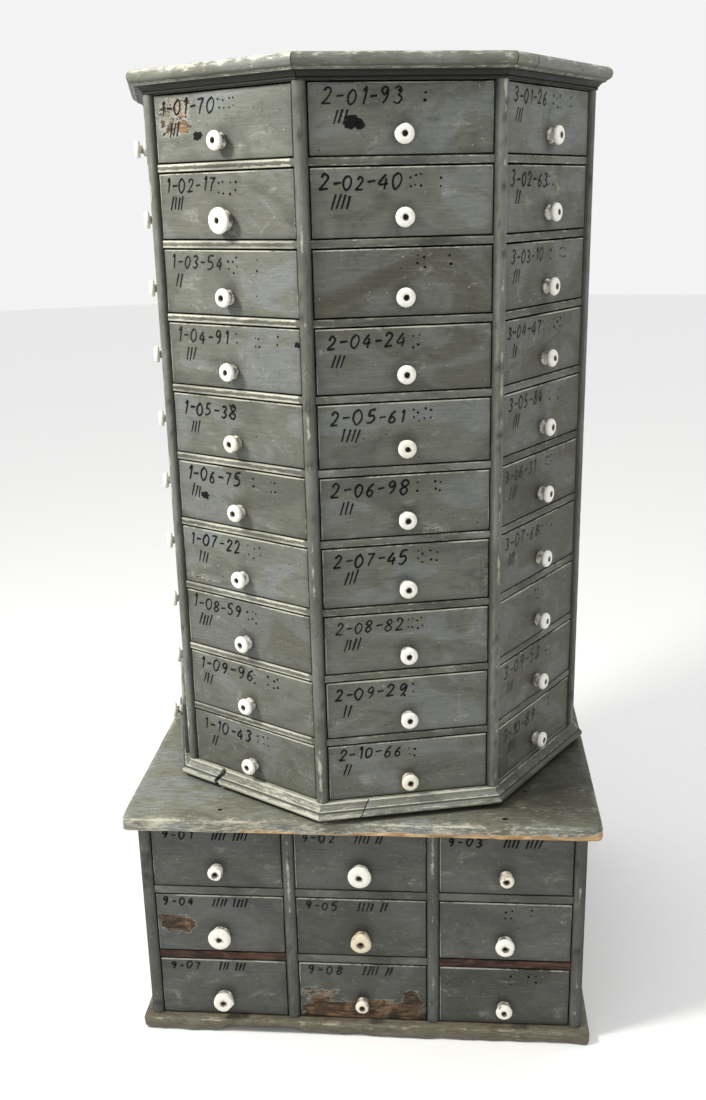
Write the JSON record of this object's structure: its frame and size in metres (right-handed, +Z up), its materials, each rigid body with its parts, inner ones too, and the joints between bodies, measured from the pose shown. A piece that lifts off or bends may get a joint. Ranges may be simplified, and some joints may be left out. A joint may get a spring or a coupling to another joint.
{
  "type": "revolving hardware cabinet",
  "caption": "Octagonal revolving turret of wedge-shaped hardware drawers with porcelain knobs, turning on a low wooden base with rows of straight drawers.",
  "frame": {"origin": "on the floor, on the turret's turning axis", "axes": "+Z up along the turning axis; the base's drawers face -Y and open along it"},
  "size_m": [0.6304, 0.6304, 1.242],
  "materials": {
    "painted_wood": "aged flat grey-green paint, worn at the edges",
    "bare_wood": "unpainted, dry and dusty",
    "porcelain": "white glaze, crazed and chipped",
    "steel": "dull, lightly rusted"
  },
  "bodies": {
    "base": {"base_bottom_board": "painted_wood", "base_case_panels": "painted_wood", "base_drawer_runners": "bare_wood", "base_front_beads": "painted_wood", "base_front_rails": "painted_wood", "base_partitions": "painted_wood", "base_top_board": "painted_wood", "swivel_lower_plate": "steel"},
    "turret": {"cornice_bed_moulding": "painted_wood", "cornice_edge_moulding": "painted_wood", "turret_carcase_top": "painted_wood", "turret_centre_post": "bare_wood", "turret_corner_posts": "painted_wood", "turret_dividers": "bare_wood", "turret_floor": "painted_wood", "turret_foot_moulding": "painted_wood", "turret_rear_drawers": "painted_wood", "turret_roof_board": "painted_wood", "turret_shelves": "bare_wood", "swivel_upper_plate": "steel"},
    "ball_ring": {"swivel_ball_ring": "steel"},
    "drawer_row1_col1": {"base_drawer_row1_col1": "painted_wood"},
    "drawer_row1_col2": {"base_drawer_row1_col2": "painted_wood"},
    "drawer_row1_col3": {"base_drawer_row1_col3": "painted_wood"},
    "drawer_row2_col1": {"base_drawer_row2_col1": "painted_wood"},
    "drawer_row2_col2": {"base_drawer_row2_col2": "painted_wood"},
    "drawer_row2_col3": {"base_drawer_row2_col3": "painted_wood"},
    "drawer_row3_col1": {"base_drawer_row3_col1": "painted_wood"},
    "drawer_row3_col2": {"base_drawer_row3_col2": "painted_wood"},
    "drawer_row3_col3": {"base_drawer_row3_col3": "painted_wood"},
    "drawer_front_01": {"turret_drawer_front_01": "painted_wood"},
    "drawer_front_02": {"turret_drawer_front_02": "painted_wood"},
    "drawer_front_03": {"turret_drawer_front_03": "painted_wood"},
    "drawer_front_04": {"turret_drawer_front_04": "painted_wood"},
    "drawer_front_05": {"turret_drawer_front_05": "painted_wood"},
    "drawer_front_06": {"turret_drawer_front_06": "painted_wood"},
    "drawer_front_07": {"turret_drawer_front_07": "painted_wood"},
    "drawer_front_08": {"turret_drawer_front_08": "painted_wood"},
    "drawer_front_09": {"turret_drawer_front_09": "painted_wood"},
    "drawer_front_10": {"turret_drawer_front_10": "painted_wood"},
    "drawer_left_01": {"turret_drawer_left_01": "painted_wood"},
    "drawer_left_02": {"turret_drawer_left_02": "painted_wood"},
    "drawer_left_03": {"turret_drawer_left_03": "painted_wood"},
    "drawer_left_04": {"turret_drawer_left_04": "painted_wood"},
    "drawer_left_05": {"turret_drawer_left_05": "painted_wood"},
    "drawer_left_06": {"turret_drawer_left_06": "painted_wood"},
    "drawer_left_07": {"turret_drawer_left_07": "painted_wood"},
    "drawer_left_08": {"turret_drawer_left_08": "painted_wood"},
    "drawer_left_09": {"turret_drawer_left_09": "painted_wood"},
    "drawer_left_10": {"turret_drawer_left_10": "painted_wood"},
    "drawer_right_01": {"turret_drawer_right_01": "painted_wood"},
    "drawer_right_02": {"turret_drawer_right_02": "painted_wood"},
    "drawer_right_03": {"turret_drawer_right_03": "painted_wood"},
    "drawer_right_04": {"turret_drawer_right_04": "painted_wood"},
    "drawer_right_05": {"turret_drawer_right_05": "painted_wood"},
    "drawer_right_06": {"turret_drawer_right_06": "painted_wood"},
    "drawer_right_07": {"turret_drawer_right_07": "painted_wood"},
    "drawer_right_08": {"turret_drawer_right_08": "painted_wood"},
    "drawer_right_09": {"turret_drawer_right_09": "painted_wood"},
    "drawer_right_10": {"turret_drawer_right_10": "painted_wood"}
  },
  "joints": [
    {"name": "turret_turn", "type": "hinge", "parent": "base", "child": "turret", "pos_m": [0, 0, 0], "axis": [0, 0, 1], "continuous": true},
    {"name": "ball_ring_turn", "type": "hinge", "parent": "base", "child": "ball_ring", "pos_m": [0, 0, 0], "axis": [0, 0, 1], "continuous": true},
    {"name": "drawer_row1_col1_slide", "type": "slide", "parent": "base", "child": "drawer_row1_col1", "axis": [0, -1, 0], "range_m": [0, 0.4]},
    {"name": "drawer_row1_col2_slide", "type": "slide", "parent": "base", "child": "drawer_row1_col2", "axis": [0, -1, 0], "range_m": [0, 0.4]},
    {"name": "drawer_row1_col3_slide", "type": "slide", "parent": "base", "child": "drawer_row1_col3", "axis": [0, -1, 0], "range_m": [0, 0.4]},
    {"name": "drawer_row2_col1_slide", "type": "slide", "parent": "base", "child": "drawer_row2_col1", "axis": [0, -1, 0], "range_m": [0, 0.4]},
    {"name": "drawer_row2_col2_slide", "type": "slide", "parent": "base", "child": "drawer_row2_col2", "axis": [0, -1, 0], "range_m": [0, 0.4]},
    {"name": "drawer_row2_col3_slide", "type": "slide", "parent": "base", "child": "drawer_row2_col3", "axis": [0, -1, 0], "range_m": [0, 0.4]},
    {"name": "drawer_row3_col1_slide", "type": "slide", "parent": "base", "child": "drawer_row3_col1", "axis": [0, -1, 0], "range_m": [0, 0.4]},
    {"name": "drawer_row3_col2_slide", "type": "slide", "parent": "base", "child": "drawer_row3_col2", "axis": [0, -1, 0], "range_m": [0, 0.4]},
    {"name": "drawer_row3_col3_slide", "type": "slide", "parent": "base", "child": "drawer_row3_col3", "axis": [0, -1, 0], "range_m": [0, 0.4]},
    {"name": "drawer_front_01_slide", "type": "slide", "parent": "turret", "child": "drawer_front_01", "axis": [0.2351, -0.972, 0], "range_m": [0, 0.15]},
    {"name": "drawer_front_02_slide", "type": "slide", "parent": "turret", "child": "drawer_front_02", "axis": [0.2351, -0.972, 0], "range_m": [0, 0.15]},
    {"name": "drawer_front_03_slide", "type": "slide", "parent": "turret", "child": "drawer_front_03", "axis": [0.2351, -0.972, 0], "range_m": [0, 0.15]},
    {"name": "drawer_front_04_slide", "type": "slide", "parent": "turret", "child": "drawer_front_04", "axis": [0.2351, -0.972, 0], "range_m": [0, 0.15]},
    {"name": "drawer_front_05_slide", "type": "slide", "parent": "turret", "child": "drawer_front_05", "axis": [0.2351, -0.972, 0], "range_m": [0, 0.15]},
    {"name": "drawer_front_06_slide", "type": "slide", "parent": "turret", "child": "drawer_front_06", "axis": [0.2351, -0.972, 0], "range_m": [0, 0.15]},
    {"name": "drawer_front_07_slide", "type": "slide", "parent": "turret", "child": "drawer_front_07", "axis": [0.2351, -0.972, 0], "range_m": [0, 0.15]},
    {"name": "drawer_front_08_slide", "type": "slide", "parent": "turret", "child": "drawer_front_08", "axis": [0.2351, -0.972, 0], "range_m": [0, 0.15]},
    {"name": "drawer_front_09_slide", "type": "slide", "parent": "turret", "child": "drawer_front_09", "axis": [0.2351, -0.972, 0], "range_m": [0, 0.15]},
    {"name": "drawer_front_10_slide", "type": "slide", "parent": "turret", "child": "drawer_front_10", "axis": [0.2351, -0.972, 0], "range_m": [0, 0.15]},
    {"name": "drawer_left_01_slide", "type": "slide", "parent": "turret", "child": "drawer_left_01", "axis": [-0.521, -0.8536, 0], "range_m": [0, 0.15]},
    {"name": "drawer_left_02_slide", "type": "slide", "parent": "turret", "child": "drawer_left_02", "axis": [-0.521, -0.8536, 0], "range_m": [0, 0.15]},
    {"name": "drawer_left_03_slide", "type": "slide", "parent": "turret", "child": "drawer_left_03", "axis": [-0.521, -0.8536, 0], "range_m": [0, 0.15]},
    {"name": "drawer_left_04_slide", "type": "slide", "parent": "turret", "child": "drawer_left_04", "axis": [-0.521, -0.8536, 0], "range_m": [0, 0.15]},
    {"name": "drawer_left_05_slide", "type": "slide", "parent": "turret", "child": "drawer_left_05", "axis": [-0.521, -0.8536, 0], "range_m": [0, 0.15]},
    {"name": "drawer_left_06_slide", "type": "slide", "parent": "turret", "child": "drawer_left_06", "axis": [-0.521, -0.8536, 0], "range_m": [0, 0.15]},
    {"name": "drawer_left_07_slide", "type": "slide", "parent": "turret", "child": "drawer_left_07", "axis": [-0.521, -0.8536, 0], "range_m": [0, 0.15]},
    {"name": "drawer_left_08_slide", "type": "slide", "parent": "turret", "child": "drawer_left_08", "axis": [-0.521, -0.8536, 0], "range_m": [0, 0.15]},
    {"name": "drawer_left_09_slide", "type": "slide", "parent": "turret", "child": "drawer_left_09", "axis": [-0.521, -0.8536, 0], "range_m": [0, 0.15]},
    {"name": "drawer_left_10_slide", "type": "slide", "parent": "turret", "child": "drawer_left_10", "axis": [-0.521, -0.8536, 0], "range_m": [0, 0.15]},
    {"name": "drawer_right_01_slide", "type": "slide", "parent": "turret", "child": "drawer_right_01", "axis": [0.8536, -0.521, 0], "range_m": [0, 0.15]},
    {"name": "drawer_right_02_slide", "type": "slide", "parent": "turret", "child": "drawer_right_02", "axis": [0.8536, -0.521, 0], "range_m": [0, 0.15]},
    {"name": "drawer_right_03_slide", "type": "slide", "parent": "turret", "child": "drawer_right_03", "axis": [0.8536, -0.521, 0], "range_m": [0, 0.15]},
    {"name": "drawer_right_04_slide", "type": "slide", "parent": "turret", "child": "drawer_right_04", "axis": [0.8536, -0.521, 0], "range_m": [0, 0.15]},
    {"name": "drawer_right_05_slide", "type": "slide", "parent": "turret", "child": "drawer_right_05", "axis": [0.8536, -0.521, 0], "range_m": [0, 0.15]},
    {"name": "drawer_right_06_slide", "type": "slide", "parent": "turret", "child": "drawer_right_06", "axis": [0.8536, -0.521, 0], "range_m": [0, 0.15]},
    {"name": "drawer_right_07_slide", "type": "slide", "parent": "turret", "child": "drawer_right_07", "axis": [0.8536, -0.521, 0], "range_m": [0, 0.15]},
    {"name": "drawer_right_08_slide", "type": "slide", "parent": "turret", "child": "drawer_right_08", "axis": [0.8536, -0.521, 0], "range_m": [0, 0.15]},
    {"name": "drawer_right_09_slide", "type": "slide", "parent": "turret", "child": "drawer_right_09", "axis": [0.8536, -0.521, 0], "range_m": [0, 0.15]},
    {"name": "drawer_right_10_slide", "type": "slide", "parent": "turret", "child": "drawer_right_10", "axis": [0.8536, -0.521, 0], "range_m": [0, 0.15]}
  ],
  "couplings": [
    {"joint": "ball_ring_turn", "follows": "turret_turn", "ratio": 0.5}
  ]
}
